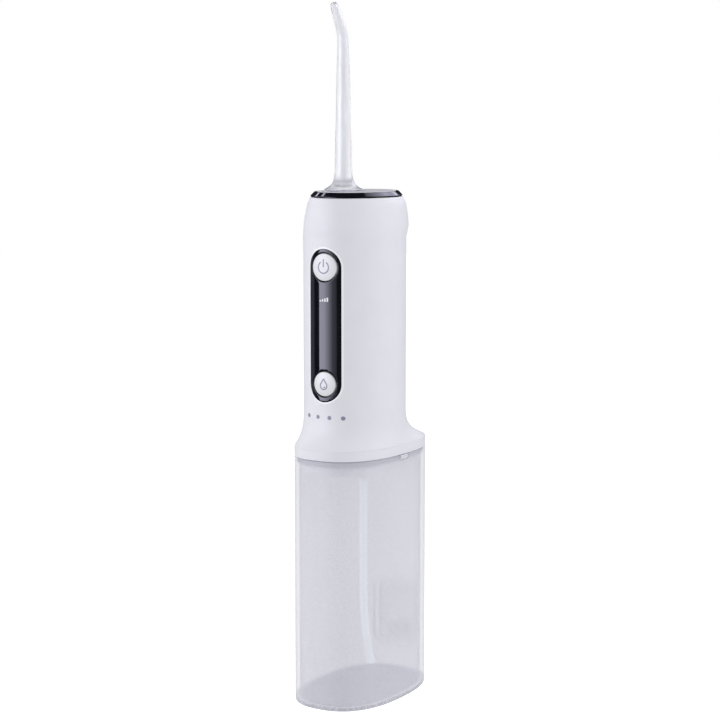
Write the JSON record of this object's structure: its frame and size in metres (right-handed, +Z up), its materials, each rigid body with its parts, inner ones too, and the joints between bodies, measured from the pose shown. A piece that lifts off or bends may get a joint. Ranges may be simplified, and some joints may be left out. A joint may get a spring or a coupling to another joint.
{
  "type": "water flosser",
  "caption": "Cordless water flosser: frosted lift-off tank with a hanging suction hose, white handle with a black button panel, and a bent jet nozzle.",
  "frame": {"origin": "middle of the tank's underside, on the surface the flosser stands on", "axes": "+Z up along the handle, -Y to the front with the buttons, +X to the right seen from the front"},
  "size_m": [0.042, 0.0666, 0.2814],
  "materials": {
    "white_shell": "satin soft white",
    "white_deck": "smooth satin white",
    "button_white": "satin white",
    "gloss_black": "piano black",
    "frosted_tank": "frosted translucent",
    "milky_nozzle": "milky translucent",
    "grey_base": "satin grey",
    "grey_seal": "soft grey silicone",
    "hose_silicone": "pale translucent silicone",
    "clear_rubber": "pale silicone",
    "steel": "brushed",
    "brass": "machined",
    "inner_plastic": "moulded",
    "dark_rubber": "black rubber",
    "red_wire": "wire insulation",
    "board_green": "solder mask",
    "cell_wrap": "shrink wrap over a metal can"
  },
  "bodies": {
    "tank": {"water_tank": "frosted_tank"},
    "filler_cap": {"filler_cap": "clear_rubber"},
    "handle": {"handle_shell": "white_shell", "top_ring": "gloss_black", "top_deck": "white_deck", "front_panel": "gloss_black", "level_light": "hose_silicone", "charge_socket": "steel", "charge_board": "board_green", "handle_base": "grey_base", "tank_seal": "grey_seal", "tank_catch_left": "grey_base", "tank_catch_right": "grey_base", "base_screw_1": "steel", "base_screw_2": "steel", "base_screw_3": "steel", "base_screw_4": "steel", "inner_frame": "inner_plastic", "gearbox_plate": "steel", "gear_axle": "steel", "motor_can": "steel", "pump_cylinder": "inner_plastic", "pump_head": "inner_plastic", "inlet_barb": "inner_plastic", "outlet_barb": "inner_plastic", "inlet_tube": "hose_silicone", "outlet_tube": "hose_silicone", "nozzle_manifold": "inner_plastic", "control_board": "board_green", "board_screw_1": "steel", "board_screw_2": "steel", "power_switch": "dark_rubber", "mode_switch": "dark_rubber", "battery_cell": "cell_wrap", "battery_lead_plus": "red_wire", "battery_lead_minus": "dark_rubber", "suction_hose": "hose_silicone", "hose_end": "clear_rubber"},
    "power_button": {"power_button": "button_white"},
    "mode_button": {"mode_button": "button_white"},
    "release": {"release_button": "white_shell", "release_latch": "inner_plastic"},
    "charge_cover": {"charge_cover": "white_shell"},
    "nozzle_seat": {"nozzle_seat": "white_deck", "seat_seal": "dark_rubber"},
    "nozzle": {"jet_nozzle": "milky_nozzle", "nozzle_seal": "dark_rubber"},
    "crank_gear": {"crank_gear": "inner_plastic"},
    "motor_rotor": {"motor_shaft": "steel", "pinion": "brass"},
    "piston": {"pump_piston": "inner_plastic", "piston_seal": "dark_rubber", "connecting_rod": "inner_plastic"},
    "inlet_valve": {"inlet_valve": "steel"},
    "outlet_valve": {"outlet_valve": "steel"}
  },
  "joints": [
    {"name": "handle_lift", "type": "slide", "parent": "tank", "child": "handle", "axis": [0, 0, 1], "range_m": [0, 0.11]},
    {"name": "filler_cap_hinge", "type": "hinge", "parent": "tank", "child": "filler_cap", "pos_m": [0, 0.03325, 0.04015], "axis": [1, 0, 0], "range_deg": [0, 100]},
    {"name": "power_press", "type": "slide", "parent": "handle", "child": "power_button", "axis": [0, 1, 0], "range_m": [0, 0.0006], "stiffness_N_per_m": 400},
    {"name": "mode_press", "type": "slide", "parent": "handle", "child": "mode_button", "axis": [0, 1, 0], "range_m": [0, 0.0006], "stiffness_N_per_m": 400},
    {"name": "release_press", "type": "slide", "parent": "handle", "child": "release", "axis": [0, -1, 0], "range_m": [0, 0.0018], "stiffness_N_per_m": 400},
    {"name": "charge_cover_hinge", "type": "hinge", "parent": "handle", "child": "charge_cover", "pos_m": [0, 0.0199, 0.11385], "axis": [-1, 0, 0], "range_deg": [0, 95]},
    {"name": "nozzle_turn", "type": "hinge", "parent": "handle", "child": "nozzle_seat", "pos_m": [0, -0.0132, 0.2], "axis": [0, 0, 1], "continuous": true},
    {"name": "nozzle_pull", "type": "slide", "parent": "nozzle_seat", "child": "nozzle", "axis": [0, 0, 1], "range_m": [0, 0.012]},
    {"name": "gear_spin", "type": "hinge", "parent": "handle", "child": "crank_gear", "pos_m": [0.0122, -0.0085, 0.12992], "axis": [1, 0, 0], "continuous": true},
    {"name": "motor_spin", "type": "hinge", "parent": "handle", "child": "motor_rotor", "pos_m": [0, -0.0103, 0.12], "axis": [1, 0, 0], "continuous": true},
    {"name": "piston_stroke", "type": "slide", "parent": "handle", "child": "piston", "axis": [0, 0, 1], "range_m": [0, 0.006]},
    {"name": "inlet_valve_lift", "type": "slide", "parent": "handle", "child": "inlet_valve", "axis": [0, 0, -1], "range_m": [0, 0.0008], "stiffness_N_per_m": 20, "springref_m": -0.0005},
    {"name": "outlet_valve_lift", "type": "slide", "parent": "handle", "child": "outlet_valve", "axis": [0, 0, 1], "range_m": [0, 0.0008], "stiffness_N_per_m": 20, "springref_m": -0.0005}
  ],
  "couplings": [
    {"joint": "motor_spin", "follows": "gear_spin", "ratio": -3}
  ]
}
